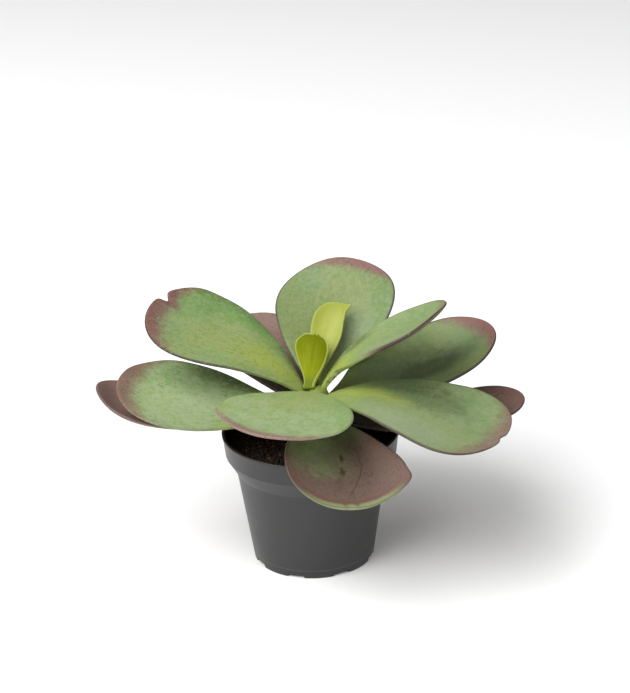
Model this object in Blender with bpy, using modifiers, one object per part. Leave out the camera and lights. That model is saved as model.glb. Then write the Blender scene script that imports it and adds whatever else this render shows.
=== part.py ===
"""Potted agave: a rosette of broad, blunt paddle leaves on a short stem, in a nursery pot of soil.

Metres, +Z up. The origin is the middle of the pot's foot, where the pot stands.
The leaves face every way round the stem. -Y is the front.
"""

import math

import bmesh
import bpy
import numpy as np
from mathutils import Matrix, Vector

MM = 0.001
GAP = 0.3 * MM  # clearance between pieces that touch
MERGE = 0.01 * MM  # points of a turned piece this close are one

# Pot: a thin tapered wall, a shoulder, and an upright collar under the rim
POT_HEIGHT = 92.5 * MM
RIM_RADIUS = 60.2 * MM
BEAD_HEIGHT = 1.8 * MM
BEAD_OUT = 0.6 * MM
COLLAR_FOOT_HEIGHT = 77.5 * MM
COLLAR_FOOT_RADIUS = 58.2 * MM
SHOULDER_FOOT_HEIGHT = 65.5 * MM
SHOULDER_FOOT_RADIUS = 51.0 * MM
FOOT_RADIUS = 41.2 * MM
WALL = 1.2 * MM
EDGE = 0.7 * MM  # size of the small rounded edges of the wall
FLOOR_UNDERSIDE = 2.0 * MM
FLOOR_TOP = 3.4 * MM
FOOT_RING_WIDTH = 2.6 * MM
NOTCHES = 8
NOTCH_TURN = math.radians(16)
NOTCH_HEIGHT = 2.4 * MM
FIRST_NOTCH = math.radians(26.5)
DRAIN_RADIUS = 3.0 * MM
DRAIN_RING_RADIUS = 32.0 * MM
DRAIN_SIDES = 12
POT_STEPS = 48

# Soil: a plug that fills the pot to a little under the rim
SOIL_EDGE_HEIGHT = 81.5 * MM
SOIL_MOUND = 1.8 * MM
HEAP_SHARES = (0.0, 0.35, 0.7, 1.0)  # where the heap's outline has points, as shares of its radius

# Stem: upright, a little to the right of the pot's axis, with its foot deep in the soil
STEM_X = 6.0 * MM
STEM_FOOT = 45.0 * MM
STEM_TOP = 123.7 * MM
STEM_RADII = (  # radius at a height, from the crown down
    (3.6 * MM, 123.4 * MM),
    (5.4 * MM, 122.6 * MM),
    (6.6 * MM, 121.0 * MM),
    (7.3 * MM, 117.5 * MM),
    (8.0 * MM, 111.0 * MM),
    (8.5 * MM, 100.0 * MM),
)
STEM_STEPS = 32

# Leaves: half thickness at the stalk, in the blade and near the tip
HALVES = (2.5 * MM, 2.0 * MM, 1.7 * MM)
YOUNG_HALVES = (2.2 * MM, 1.2 * MM, 1.0 * MM)
STALK_SHARE = 0.45  # share of the length over which the stalk thins to the blade
ROUNDING = 0.45  # power of the section's rounding, under 1 for a full, blunt margin
TIP_ROUNDING = 0.35
LEAF_SIDES = 20
LEAF_RINGS = 20
YOUNG_SIDES = 16
YOUNG_RINGS = 12

# One entry for each leaf, in degrees and millimetres.
# height: where the leaf leaves the stem's axis. heading: its way round the stem from +X, by +Y.
# rise: its climb at the stalk. arch and curl: the change of climb along it, even or near the tip.
# sweep: the change of heading along it. roll and twist: how far its left side is lifted.
# cup: how far each side is bent up. out and aside: how far ahead of the stem's axis, and to the left
# of it, the leaf starts. stalk: width of the stalk there.
# fullness: a smaller power gives a blade that widens sooner. end: a larger power gives a blunter tip.
# fold: depth of the crease on the midrib. lip: how far the margin is turned up.
# notch: depth, place to the left of the midrib and width of a dent in the tip, or of a peak if under 0.
# bulges: side (1 left, -1 right), place along, spread along and share by which that side is wider.
LEAVES = {
    "leaf_back": dict(
        height=117.5, heading=85.3, rise=32.7, arch=-23, curl=55, sweep=-20.6,
        roll=21.4, twist=-36.1, length=118, width=87.3, cup=12,
        bulges=((-1, 0.13, 0.13, -0.45),),
    ),
    "leaf_upper_left": dict(
        height=110, heading=166.2, rise=58.6, arch=-84.5, curl=80, sweep=-2.3,
        roll=-4.1, twist=-9.2, length=131.1, width=81.3, cup=8,
        stalk=5, fullness=1.2, end=1.6, notch=(6, -9, 4),
        bulges=((1, 0.69, 0.3, -0.03), (-1, 0.07, 0.12, -0.32),),
    ),
    "leaf_upper_right": dict(
        height=120.5, heading=-0.4, rise=60.4, arch=-74.7, curl=71.8, sweep=-20,
        roll=0, twist=-3, length=104.6, width=74.1, cup=14,
        out=2.5, stalk=4.6, fullness=0.87, end=3.57,
        bulges=((-1, 0.14, 0.12, -0.72),),
    ),
    "leaf_left": dict(
        height=109, heading=191.2, rise=2.9, arch=4.7, curl=37.1, sweep=-20.7,
        roll=-13, twist=4.1, length=134.2, width=80.4, cup=17.4,
        fullness=1.26, end=1.68,
        bulges=((-1, 0.38, 0.2, 0.21), (-1, 0.95, 0.15, -0.14),),
    ),
    "leaf_right_back": dict(
        height=111, heading=21.4, rise=4.3, arch=7.7, curl=42.4, sweep=-4.5,
        roll=13.4, twist=-14.8, length=132.3, width=82.6, cup=29.1,
        bulges=((1, 0.25, 0.12, 0.3), (-1, 0.55, 0.2, -0.08),),
    ),
    "leaf_front": dict(
        height=119.8, heading=254.1, rise=16.5, arch=-26.2, curl=26, sweep=-6.3,
        roll=-2.9, twist=0.6, length=107.8, width=89.7, cup=11.6,
        fullness=0.85, end=1.86,
        bulges=((-1, 0.92, 0.09, -0.13), (-1, 0.64, 0.15, 0.01),),
    ),
    "leaf_right_front": dict(
        height=115.5, heading=327.3, rise=22.8, arch=-65, curl=40.9, sweep=0.8,
        roll=5.2, twist=-7.2, length=134.8, width=92.9, cup=10.8,
        stalk=6, fullness=0.82, end=5.62, notch=(2, 6, 4),
    ),
    "leaf_far_left": dict(
        height=98, heading=179.6, rise=6.9, arch=-16.2, curl=71.5, sweep=7.2,
        roll=3, twist=-3.7, length=153.6, width=70.6, cup=28.8,
    ),
    "leaf_far_right": dict(
        height=101, heading=-2.3, rise=-7, arch=11.7, curl=30.7, sweep=-1.1,
        roll=-1.7, twist=-1.2, length=138, width=73.5, cup=23.6,
    ),
    "leaf_front_low": dict(
        height=106, heading=278, rise=1, arch=-31, curl=17.1, sweep=3.4,
        roll=-16.1, twist=9.7, length=110.6, width=84.1, cup=31.1,
        fullness=0.92, end=3.84, fold=2, lip=3,
        bulges=((1, 0.49, 0.2, -0.04), (1, 0.86, 0.07, 0.09), (1, 1.01, 0.05, -0.04),),
    ),
    "leaf_back_left": dict(
        height=105, heading=121, rise=18, arch=-12, curl=0, sweep=2,
        roll=0, twist=0, length=126, width=72, cup=22,
    ),
    "leaf_young_front": dict(
        height=122.5, heading=72, rise=38.1, arch=37.4, curl=6.4, sweep=-6.9,
        roll=-14.8, twist=-2.2, length=38.8, width=31, cup=43,
        out=-3.8, aside=5.5, stalk=9, fullness=1.06, end=3.93, notch=(-1, 9, 3),
    ),
    "leaf_young_back": dict(
        height=123.5, heading=72, rise=40.5, arch=-17.5, curl=16.4, sweep=-1.9,
        roll=-16.2, twist=22.3, length=67.2, width=27.9, cup=28.2,
        out=3, aside=3, stalk=6, fullness=1.12, end=2.51, notch=(-4, -13, 3),
        bulges=((-1, 0.81, 0.25, -0.41), (-1, 0.97, 0.04, 0.84)),
    ),
}
LEAF_START = dict(out=4, aside=0, stalk=8, fullness=0.8, end=3.5, fold=0, lip=0, notch=(0, 0, 4), bulges=())
FOLD_WIDTH = 6.0 * MM
SIDE_LIP_POWER = 8  # a larger power keeps the turned-up margin narrower
TIP_LIP_POWER = 16
LIP_GROWTH = 0.4  # share of the length over which the lip grows to its full height
NOTCH_REACH = 0.4  # share of the length, back from the tip, that a notch moves
SMALL_STEP = 1e-4  # share of the leaf between two points that give a direction
OLD_LEAVES = ("leaf_far_left", "leaf_far_right", "leaf_back_left")
YOUNG_LEAVES = ("leaf_young_front", "leaf_young_back")
MIDRIB_STEPS = 60

# Colours (red, green, blue) with roughness
POT_LOOK = ((0.075, 0.078, 0.078), 0.48)
SOIL_LOOK = ((0.035, 0.020, 0.013), 0.95)
STEM_LOOK = ((0.330, 0.400, 0.110), 0.60)
GREEN_LOOK = ((0.265, 0.385, 0.190), 0.62)
MAUVE_LOOK = ((0.190, 0.130, 0.115), 0.62)
YOUNG_LOOK = ((0.480, 0.520, 0.075), 0.58)


def clear_scene():
    for obj in list(bpy.data.objects):
        bpy.data.objects.remove(obj, do_unlink=True)


def new_collection(name, hidden=False):
    collection = bpy.data.collections.new(name)
    bpy.context.scene.collection.children.link(collection)
    collection.hide_render = hidden
    return collection


def new_material(name, look):
    """A plain finish: one colour and one roughness, nothing metallic."""
    colour, roughness = look
    material = bpy.data.materials.new(name)
    material.use_nodes = True
    shader = material.node_tree.nodes["Principled BSDF"]
    shader.inputs["Base Color"].default_value = (*colour, 1.0)
    shader.inputs["Roughness"].default_value = roughness
    shader.inputs["Metallic"].default_value = 0.0
    material.diffuse_color = (*colour, 1.0)
    return material


def smooth_step(x):
    x = np.clip(x, 0.0, 1.0)
    return x * x * (3.0 - 2.0 * x)


def turned_piece(name, profile, steps, collection, material=None, at_x=0.0):
    """A profile of (radius, height) points turned round an upright axis."""
    mesh = bpy.data.meshes.new(name)
    points = [(radius, 0.0, height) for radius, height in profile]
    mesh.from_pydata(points, [(i, i + 1) for i in range(len(points) - 1)], [])
    obj = bpy.data.objects.new(name, mesh)
    obj.location.x = at_x
    collection.objects.link(obj)
    turn = obj.modifiers.new("Turn", "SCREW")
    turn.angle = math.tau
    turn.steps = steps
    turn.render_steps = steps
    turn.use_merge_vertices = True
    turn.merge_threshold = MERGE
    turn.use_smooth_shade = True
    if material:
        mesh.materials.append(material)
    return obj


def pot_outside():
    """The pot's outer side, from the rim's top edge down to the foot."""
    bead_foot = POT_HEIGHT - BEAD_HEIGHT
    under_bead = RIM_RADIUS - BEAD_OUT
    return [
        (RIM_RADIUS - EDGE, POT_HEIGHT),
        (RIM_RADIUS, POT_HEIGHT - EDGE),
        (RIM_RADIUS, bead_foot + EDGE / 2),
        (under_bead, bead_foot),
        (COLLAR_FOOT_RADIUS, COLLAR_FOOT_HEIGHT + EDGE),
        (COLLAR_FOOT_RADIUS - EDGE, COLLAR_FOOT_HEIGHT),
        (SHOULDER_FOOT_RADIUS, SHOULDER_FOOT_HEIGHT),
        (SHOULDER_FOOT_RADIUS - EDGE, SHOULDER_FOOT_HEIGHT - 2 * EDGE),
        (FOOT_RADIUS, EDGE),
        (FOOT_RADIUS - EDGE / 2, 0.0),
    ]


def pot_inside(inset):
    """The pot's inner side set in by a clearance, from the floor's edge up to under the rim."""
    corner = FOOT_RADIUS + (SHOULDER_FOOT_RADIUS - FOOT_RADIUS) * FLOOR_TOP / SHOULDER_FOOT_HEIGHT
    return [
        (corner - WALL - inset, FLOOR_TOP + inset),
        (SHOULDER_FOOT_RADIUS - EDGE - WALL - inset, SHOULDER_FOOT_HEIGHT - 2 * EDGE),
        (SHOULDER_FOOT_RADIUS - WALL - inset, SHOULDER_FOOT_HEIGHT + inset),
        (COLLAR_FOOT_RADIUS - WALL - EDGE - inset, COLLAR_FOOT_HEIGHT + EDGE + inset),
    ]


def radial_cutter(name, size, radius, turn, height, collection):
    """A block that reaches outwards from the pot's axis, for one notch of the foot."""
    bpy.ops.mesh.primitive_cube_add(size=1.0)
    block = bpy.context.object
    block.name = name
    block.data.transform(Matrix.Diagonal((*size, 1.0)))
    block.location = (radius * math.cos(turn), radius * math.sin(turn), height)
    block.rotation_euler.z = turn
    move_to(block, collection)
    return block


def move_to(obj, collection):
    for owner in list(obj.users_collection):
        owner.objects.unlink(obj)
    collection.objects.link(obj)


def cut(obj, cutter):
    cutter.hide_render = True
    cutter.display_type = "WIRE"
    boolean = obj.modifiers.new("Cut " + cutter.name, "BOOLEAN")
    boolean.operation = "DIFFERENCE"
    boolean.object = cutter


def make_pot(parts, cutters):
    inside = pot_inside(0.0)
    collar_top = (RIM_RADIUS - BEAD_OUT - WALL, POT_HEIGHT - BEAD_HEIGHT)
    rim_inner = (RIM_RADIUS - BEAD_OUT - WALL, POT_HEIGHT)
    foot_inner = FOOT_RADIUS - FOOT_RING_WIDTH
    profile = [(0.0, FLOOR_TOP), *inside, collar_top, rim_inner, *pot_outside()]
    profile += [(foot_inner, 0.0), (foot_inner, FLOOR_UNDERSIDE), (0.0, FLOOR_UNDERSIDE)]
    pot = turned_piece("pot", profile, POT_STEPS, parts, new_material("pot_plastic", POT_LOOK))
    notch_size = (3 * FOOT_RING_WIDTH, 2 * FOOT_RADIUS * math.sin(NOTCH_TURN / 2), 2 * NOTCH_HEIGHT)
    for number in range(NOTCHES):
        turn = FIRST_NOTCH + number * math.tau / NOTCHES
        notch = radial_cutter(f"notch_{number}", notch_size, FOOT_RADIUS, turn, 0.0, cutters)
        cut(pot, notch)
        bpy.ops.mesh.primitive_cylinder_add(
            vertices=DRAIN_SIDES, radius=DRAIN_RADIUS, depth=4 * FLOOR_TOP
        )
        drain = bpy.context.object
        drain.name = f"drain_{number}"
        drain.location = (DRAIN_RING_RADIUS * math.cos(turn), DRAIN_RING_RADIUS * math.sin(turn), 0.0)
        move_to(drain, cutters)
        cut(pot, drain)
    return pot


def stem_profile(grow):
    """The stem's outline from the crown down, made larger all round for a seat."""
    crown = [(0.0, STEM_TOP + grow)]
    side = [(radius + grow, height) for radius, height in STEM_RADII]
    foot_radius = STEM_RADII[-1][0] + grow
    return crown + side + [(foot_radius, STEM_FOOT - grow), (0.0, STEM_FOOT - grow)]


def make_stem(parts):
    look = new_material("stem_skin", STEM_LOOK)
    return turned_piece("stem", stem_profile(0.0), STEM_STEPS, parts, look, STEM_X)


def make_soil(parts, seat):
    """Soil up to a little under the rim, gently heaped towards the stem."""
    inside = pot_inside(GAP)
    collar_foot, collar_height = inside[-1]
    slope = (RIM_RADIUS - BEAD_OUT - COLLAR_FOOT_RADIUS) / (POT_HEIGHT - COLLAR_FOOT_HEIGHT)
    edge_radius = collar_foot + slope * (SOIL_EDGE_HEIGHT - collar_height)
    heap = [
        (share * edge_radius, SOIL_EDGE_HEIGHT + SOIL_MOUND * (1.0 - share**2))
        for share in HEAP_SHARES
    ]
    profile = heap + inside[::-1] + [(0.0, FLOOR_TOP + GAP)]
    soil = turned_piece("soil", profile, POT_STEPS, parts, new_material("soil", SOIL_LOOK))
    cut(soil, seat)
    return soil


def midrib(leaf):
    """Points and directions along a leaf's middle, in its own frame with +X along its heading."""
    t = np.linspace(0.0, 1.0, MIDRIB_STEPS + 1)
    heading = np.radians(leaf["sweep"]) * t
    climb = np.radians(leaf["rise"] + leaf["arch"] * t + leaf["curl"] * t**4)
    along = np.stack([np.cos(climb) * np.cos(heading), np.cos(climb) * np.sin(heading), np.sin(climb)], 1)
    step = leaf["length"] * MM / MIDRIB_STEPS
    points = np.vstack([np.zeros(3), np.cumsum((along[1:] + along[:-1]) / 2 * step, axis=0)])
    level = np.stack([-np.sin(heading), np.cos(heading), np.zeros_like(t)], 1)
    up = np.cross(along, level)
    roll = np.radians(leaf["roll"] + leaf["twist"] * t)[:, None]
    left = level * np.cos(roll) + up * np.sin(roll)
    face = up * np.cos(roll) - level * np.sin(roll)
    return t, points, along, left, face


def half_width(leaf, t, side):
    """A paddle: narrow at the stalk, widest past the middle, blunt at the tip."""
    power, end = leaf["fullness"], leaf["end"]
    widest = (2 * power / (end + 2 * power)) ** (1 / end)
    largest = widest**power * math.sqrt(1.0 - widest**end)
    blade = t**power * np.sqrt(np.clip(1.0 - t**end, 0.0, 1.0)) / largest
    stalk = leaf["stalk"] * MM / 2 * (1.0 - t) ** 2
    width = np.sqrt((leaf["width"] * MM / 2 * blade) ** 2 + stalk**2)
    for which, place, spread, share in leaf["bulges"]:
        width = width * (1.0 + share * np.exp(-(((t - place) / spread) ** 2)) * np.clip(which * side, 0, 1))
    return width


def blade_surface(leaf, t, side):
    """The middle surface of a leaf at t along it (0 to 1) and side across it (-1 to 1)."""
    stations, *curves = midrib(leaf)
    point, along, left, face = (
        np.stack([np.interp(t, stations, curve[:, axis]) for axis in range(3)], -1) for curve in curves
    )
    across = half_width(leaf, t, side) * side
    bend = math.radians(leaf["cup"]) / (leaf["width"] * MM / 2)
    sideways = np.sin(across * bend) / bend
    lift = (1.0 - np.cos(across * bend)) / bend
    crease = 1.0 - np.exp(-np.abs(across) / FOLD_WIDTH)
    lift = lift + leaf["fold"] * MM * crease * np.sin(math.pi * t)
    lip = (side**SIDE_LIP_POWER * smooth_step(t / LIP_GROWTH) + t**TIP_LIP_POWER) / 2
    lift = lift + leaf["lip"] * MM * lip
    depth, place, spread = (value * MM for value in leaf["notch"])
    near_tip = smooth_step((t - (1.0 - NOTCH_REACH)) / NOTCH_REACH)
    dent = depth * np.exp(-(((across - place) / spread) ** 2)) * near_tip
    return (
        point
        + sideways[..., None] * left
        + lift[..., None] * face
        - dent[..., None] * along
    )


def half_thickness(leaf, t):
    stalk, blade, tip = leaf["halves"]
    thick = stalk + (blade - stalk) * smooth_step(t / STALK_SHARE)
    return thick + (tip - blade) * smooth_step((t - STALK_SHARE) / (1.0 - STALK_SHARE))


def leaf_points(leaf, ball):
    """Moves the points of a unit ball onto the leaf: its height runs along, its girth across."""
    t = (ball[:, 2] + 1.0) / 2.0
    radius = np.hypot(ball[:, 0], ball[:, 1])
    turn = np.arctan2(ball[:, 1], ball[:, 0])
    side = np.cos(turn)
    near = np.clip(t, SMALL_STEP, 1.0 - SMALL_STEP)
    ahead = blade_surface(leaf, np.minimum(t + SMALL_STEP, 1.0), side)
    behind = blade_surface(leaf, np.maximum(t - SMALL_STEP, 0.0), side)
    leftward = blade_surface(leaf, near, side + SMALL_STEP)
    rightward = blade_surface(leaf, near, side - SMALL_STEP)
    normal = np.cross(ahead - behind, leftward - rightward)
    normal /= np.linalg.norm(normal, axis=1, keepdims=True)
    swell = np.sign(np.sin(turn)) * np.abs(np.sin(turn)) ** ROUNDING
    swell = swell * half_thickness(leaf, t) * radius**TIP_ROUNDING
    return blade_surface(leaf, t, side) + swell[:, None] * normal


def make_leaf(name, parts, seat, material):
    young = name in YOUNG_LEAVES
    leaf = {**LEAF_START, **LEAVES[name]}
    leaf["halves"] = YOUNG_HALVES if young else HALVES
    ball = bmesh.new()
    bmesh.ops.create_uvsphere(
        ball,
        u_segments=YOUNG_SIDES if young else LEAF_SIDES,
        v_segments=YOUNG_RINGS if young else LEAF_RINGS,
        radius=1.0,
    )
    ball.verts.ensure_lookup_table()
    places = leaf_points(leaf, np.array([vertex.co[:] for vertex in ball.verts]))
    for vertex, place in zip(ball.verts, places):
        vertex.co = place
    bmesh.ops.recalc_face_normals(ball, faces=ball.faces)
    mesh = bpy.data.meshes.new(name)
    ball.to_mesh(mesh)
    ball.free()
    mesh.shade_smooth()
    mesh.materials.append(material)
    obj = bpy.data.objects.new(name, mesh)
    heading = math.radians(leaf["heading"])
    start = Vector((leaf["out"], leaf["aside"], leaf["height"])) * MM
    obj.location = Vector((STEM_X, 0.0, 0.0)) + Matrix.Rotation(heading, 3, "Z") @ start
    obj.rotation_euler.z = heading
    parts.objects.link(obj)
    cut(obj, seat)
    return obj


def make_leaves(parts, seat):
    green = new_material("leaf_green", GREEN_LOOK)
    mauve = new_material("leaf_mauve", MAUVE_LOOK)
    fresh = new_material("leaf_young", YOUNG_LOOK)
    leaves = []
    for name in LEAVES:
        material = mauve if name in OLD_LEAVES else fresh if name in YOUNG_LEAVES else green
        leaves.append(make_leaf(name, parts, seat, material))
    return leaves


def main():
    clear_scene()
    parts = new_collection("potted_agave")
    cutters = new_collection("cutters", hidden=True)
    seat = turned_piece("stem_seat", stem_profile(GAP), STEM_STEPS, cutters, at_x=STEM_X)
    pieces = [make_pot(parts, cutters), make_soil(parts, seat), make_stem(parts)]
    pieces += make_leaves(parts, seat)
    root = bpy.data.objects.new("potted_agave", None)
    parts.objects.link(root)
    for piece in pieces:
        piece.parent = root


main()
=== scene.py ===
"""Potted agave in a studio: fine leaves, stem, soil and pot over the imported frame.

Metres, +Z up. The origin is the middle of the pot's foot, and -Y is the front.
"""

import math
import random
from types import SimpleNamespace

import bmesh
import bpy
import numpy as np
from bpy.props import FloatProperty, FloatVectorProperty, IntProperty, PointerProperty
from mathutils import Matrix, Vector, noise


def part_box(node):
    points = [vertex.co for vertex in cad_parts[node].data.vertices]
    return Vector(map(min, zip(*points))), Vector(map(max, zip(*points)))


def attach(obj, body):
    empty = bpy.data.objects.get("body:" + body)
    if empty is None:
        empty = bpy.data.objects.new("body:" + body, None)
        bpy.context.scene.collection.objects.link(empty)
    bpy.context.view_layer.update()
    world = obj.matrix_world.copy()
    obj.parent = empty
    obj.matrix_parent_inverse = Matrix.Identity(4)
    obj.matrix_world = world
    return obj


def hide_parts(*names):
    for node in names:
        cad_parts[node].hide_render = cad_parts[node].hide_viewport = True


bl_info = {
    "name": "Potted Agave",
    "version": (1, 0, 0),
    "blender": (4, 5, 0),
    "location": "View3D > Sidebar > Potted Agave",
    "description": "Dresses a potted agave with leaves, stem, soil, pot and a studio",
    "category": "Add Mesh",
}

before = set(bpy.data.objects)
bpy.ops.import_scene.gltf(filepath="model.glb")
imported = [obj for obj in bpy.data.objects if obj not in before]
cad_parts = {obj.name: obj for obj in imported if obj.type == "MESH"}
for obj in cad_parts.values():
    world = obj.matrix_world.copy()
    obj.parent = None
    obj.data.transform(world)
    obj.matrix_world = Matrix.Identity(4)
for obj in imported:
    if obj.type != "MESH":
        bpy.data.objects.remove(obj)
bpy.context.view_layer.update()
MM = 0.001

# Pot, as the frame has it
POT_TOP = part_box("pot")[1][2]
RIM_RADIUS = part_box("pot")[1][0]
WALL = 1.2 * MM
BEAD_HEIGHT = 1.8 * MM
BEAD_OUT = 0.6 * MM
BEAD_SLOPE = 0.3 * MM
COLLAR_FOOT = (58.2 * MM, 77.5 * MM)  # radius and height
SHOULDER_FOOT = (51.0 * MM, 65.5 * MM)
FOOT_RADIUS = 41.2 * MM
FOOT_RING_WIDTH = 2.6 * MM
RING_LINE_HEIGHT = 6.0 * MM  # a faint moulded line round the foot
FLOOR_UNDERSIDE = 2.0 * MM
FLOOR_TOP = 3.4 * MM
ROUNDED_EDGE = 0.35 * MM
SHARP_EDGE = 40.0  # degrees between two faces
POT_STEPS = 360
NEARBY = 0.1 * MM  # points this close count as level
JOINED = 0.001 * MM  # points this close are one

# Notches in the foot ring, in degrees round the pot, and the drain holes behind them
NOTCHES = 8
NOTCH_SPACING = 360.0 / NOTCHES
FIRST_NOTCH = 26.5
NOTCH_HALF_TURN = 8.6
NOTCH_END_TURN = 1.6  # over which each end curves down
NOTCH_LIFT = FLOOR_UNDERSIDE * 0.98
NOTCH_TOP = 3.0 * MM
DRAIN_RADIUS = 3.0 * MM
DRAIN_RING_RADIUS = 32.0 * MM
DRAIN_STEPS = 32

# Stem
STEM_X = 6.0 * MM
STEM_RADII = (  # radius at a height, from the crown down
    (3.6 * MM, 123.4 * MM),
    (5.4 * MM, 122.6 * MM),
    (6.6 * MM, 121.0 * MM),
    (7.3 * MM, 117.5 * MM),
    (8.0 * MM, 111.0 * MM),
    (8.5 * MM, 100.0 * MM),
)
STEM_TOP = 123.7 * MM
STEM_FOOT = 45.0 * MM
STEM_RINGS = 120
STEM_STEPS = 64
RIDGE_SPACING = 4.5 * MM
RIDGED_RADIUS = 6.0 * MM  # a thinner stem is smooth

# Soil, with its crumbs and fibres
SOIL_EDGE_HEIGHT = 81.5 * MM
SOIL_MOUND = 1.8 * MM
SOIL_LUMPS = ((0.0, 90.0, 0.9), (0.3, 300.0, 0.5))  # level in the noise, fineness, height in millimetres
SOIL_RINGS = 40
SOIL_STEPS = 120
SOIL_SHADE = 0.25
SOIL_SEED = 11
GAP = 0.3 * MM
STREWN_SHARE = 0.985  # of the soil's radius
CRUMB_SHARES = (0.35, 1.6)  # of a middling crumb
CRUMB_LIFT = 0.2
CRUMB_DENT = 0.3
FIBRE_REACH = 8.0 * MM
FIBRE_BEND = 0.5
FIBRE_RADII = (0.12, 0.28)  # in millimetres
FIBRE_STEPS = (0.8, 1.8)
FIBRE_PARTS = 5
FIBRE_LIFT = 0.9 * MM
FIBRE_SHADES = (0.6, 1.0)
BATCH = 50

# Leaves: half thickness at the stalk, in the blade and near the tip
HALVES = (2.5 * MM, 2.0 * MM, 1.7 * MM)
YOUNG_HALVES = (2.2 * MM, 1.2 * MM, 1.0 * MM)
STALK_SHARE = 0.45
ROUNDING = 0.45
TIP_ROUNDING = 0.35
FOLD_WIDTH = 6.0 * MM
SIDE_LIP_POWER = 8
TIP_LIP_POWER = 16
LIP_GROWTH = 0.4
NOTCH_REACH = 0.4
SMALL_STEP = 1e-4
MIDRIB_STEPS = 60
MARGIN_START = 0.05
MARGIN_STEPS = 240
FINE_LENGTH = 0.9975  # keeps the finer blade inside the solid's box
YOUNG_RIPPLE = 0.3
WAVES = 3
WAVE_LENGTHS = (22, 48)  # in millimetres
LEAF_FIELDS = ("along", "side", "upper", "rim")  # what each point of a leaf's skin carries

# One row for each leaf, in degrees and millimetres.
# height: where the leaf leaves the stem's axis. heading: its way round the stem from +X, by +Y.
# rise: its climb at the stalk. arch and curl: the change of climb along it, even or near the tip.
# sweep: the change of heading along it. roll and twist: how far its left side is lifted.
# cup: how far each side is bent up.
LEAF_COLUMNS = "height heading rise arch curl sweep roll twist length width cup".split()
LEAVES = {
    "leaf_back":        (117.5,  85.3, 32.7,   -23,   55, -20.6,  21.4, -36.1,   118, 87.3,   12),
    "leaf_upper_left":  (  110, 166.2, 58.6, -84.5,   80,  -2.3,  -4.1,  -9.2, 131.1, 81.3,    8),
    "leaf_upper_right": (120.5,  -0.4, 60.4, -74.7, 71.8,   -20,     0,    -3, 104.6, 74.1,   14),
    "leaf_left":        (  109, 191.2,  2.9,   4.7, 37.1, -20.7,   -13,   4.1, 134.2, 80.4, 17.4),
    "leaf_right_back":  (  111,  21.4,  4.3,   7.7, 42.4,  -4.5,  13.4, -14.8, 132.3, 82.6, 29.1),
    "leaf_front":       (119.8, 254.1, 16.5, -26.2,   26,  -6.3,  -2.9,   0.6, 107.8, 89.7, 11.6),
    "leaf_right_front": (115.5, 327.3, 22.8,   -65, 40.9,   0.8,   5.2,  -7.2, 134.8, 92.9, 10.8),
    "leaf_far_left":    (   98, 179.6,  6.9, -16.2, 71.5,   7.2,     3,  -3.7, 153.6, 70.6, 28.8),
    "leaf_far_right":   (  101,  -2.3,   -7,  11.7, 30.7,  -1.1,  -1.7,  -1.2,   138, 73.5, 23.6),
    "leaf_front_low":   (  106,   278,    1,   -31, 17.1,   3.4, -16.1,   9.7, 110.6, 84.1, 31.1),
    "leaf_back_left":   (  105,   121,   18,   -12,    0,     2,     0,     0,   126,   72,   22),
    "leaf_young_front": (122.5,    72, 38.1,  37.4,  6.4,  -6.9, -14.8,  -2.2,  38.8,   31,   43),
    "leaf_young_back":  (123.5,    72, 40.5, -17.5, 16.4,  -1.9, -16.2,  22.3,  67.2, 27.9, 28.2),
}
# What else shapes some leaves.
# out and aside: how far ahead of the stem's axis, and to the left of it, the leaf starts.
# stalk: width of the stalk there.
# fullness: a smaller power gives a blade that widens sooner. end: a larger power gives a blunter tip.
# fold: depth of the crease on the midrib. lip: how far the margin is turned up.
# notch: depth, place to the left of the midrib and width of a dent in the tip, or of a peak if under 0.
# bulges: side (1 left, -1 right), place along, spread along and share by which that side is wider.
LEAF_START = dict(
    out=4, aside=0, stalk=8, fullness=0.8, end=3.5, fold=0, lip=0, notch=(0, 0, 4), bulges=()
)
LEAF_SHAPES = {
    "leaf_back": dict(bulges=((-1, 0.13, 0.13, -0.45),)),
    "leaf_upper_left": dict(
        stalk=5, fullness=1.2, end=1.6, notch=(6, -9, 4),
        bulges=((1, 0.69, 0.3, -0.03), (-1, 0.07, 0.12, -0.32)),
    ),
    "leaf_upper_right": dict(
        out=2.5, stalk=4.6, fullness=0.87, end=3.57, bulges=((-1, 0.14, 0.12, -0.72),)
    ),
    "leaf_left": dict(
        fullness=1.26, end=1.68, bulges=((-1, 0.38, 0.2, 0.21), (-1, 0.95, 0.15, -0.14))
    ),
    "leaf_right_back": dict(bulges=((1, 0.25, 0.12, 0.3), (-1, 0.55, 0.2, -0.08))),
    "leaf_front": dict(
        fullness=0.85, end=1.86, bulges=((-1, 0.92, 0.09, -0.13), (-1, 0.64, 0.15, 0.01))
    ),
    "leaf_right_front": dict(stalk=6, fullness=0.82, end=5.62, notch=(2, 6, 4)),
    "leaf_front_low": dict(
        fullness=0.92, end=3.84, fold=2, lip=3,
        bulges=((1, 0.49, 0.2, -0.04), (1, 0.86, 0.07, 0.09), (1, 1.01, 0.05, -0.04)),
    ),
    "leaf_young_front": dict(
        out=-3.8, aside=5.5, stalk=9, fullness=1.06, end=3.93, notch=(-1, 9, 3)
    ),
    "leaf_young_back": dict(
        out=3, aside=3, stalk=6, fullness=1.12, end=2.51, notch=(-4, -13, 3),
        bulges=((-1, 0.81, 0.25, -0.41), (-1, 0.97, 0.04, 0.84)),
    ),
}
OLD_LEAVES = ("leaf_far_left", "leaf_far_right", "leaf_back_left")
YOUNG_LEAVES = ("leaf_young_front", "leaf_young_back")
GROWN_LEAVES = tuple(name for name in LEAVES if name not in OLD_LEAVES + YOUNG_LEAVES)

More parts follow.
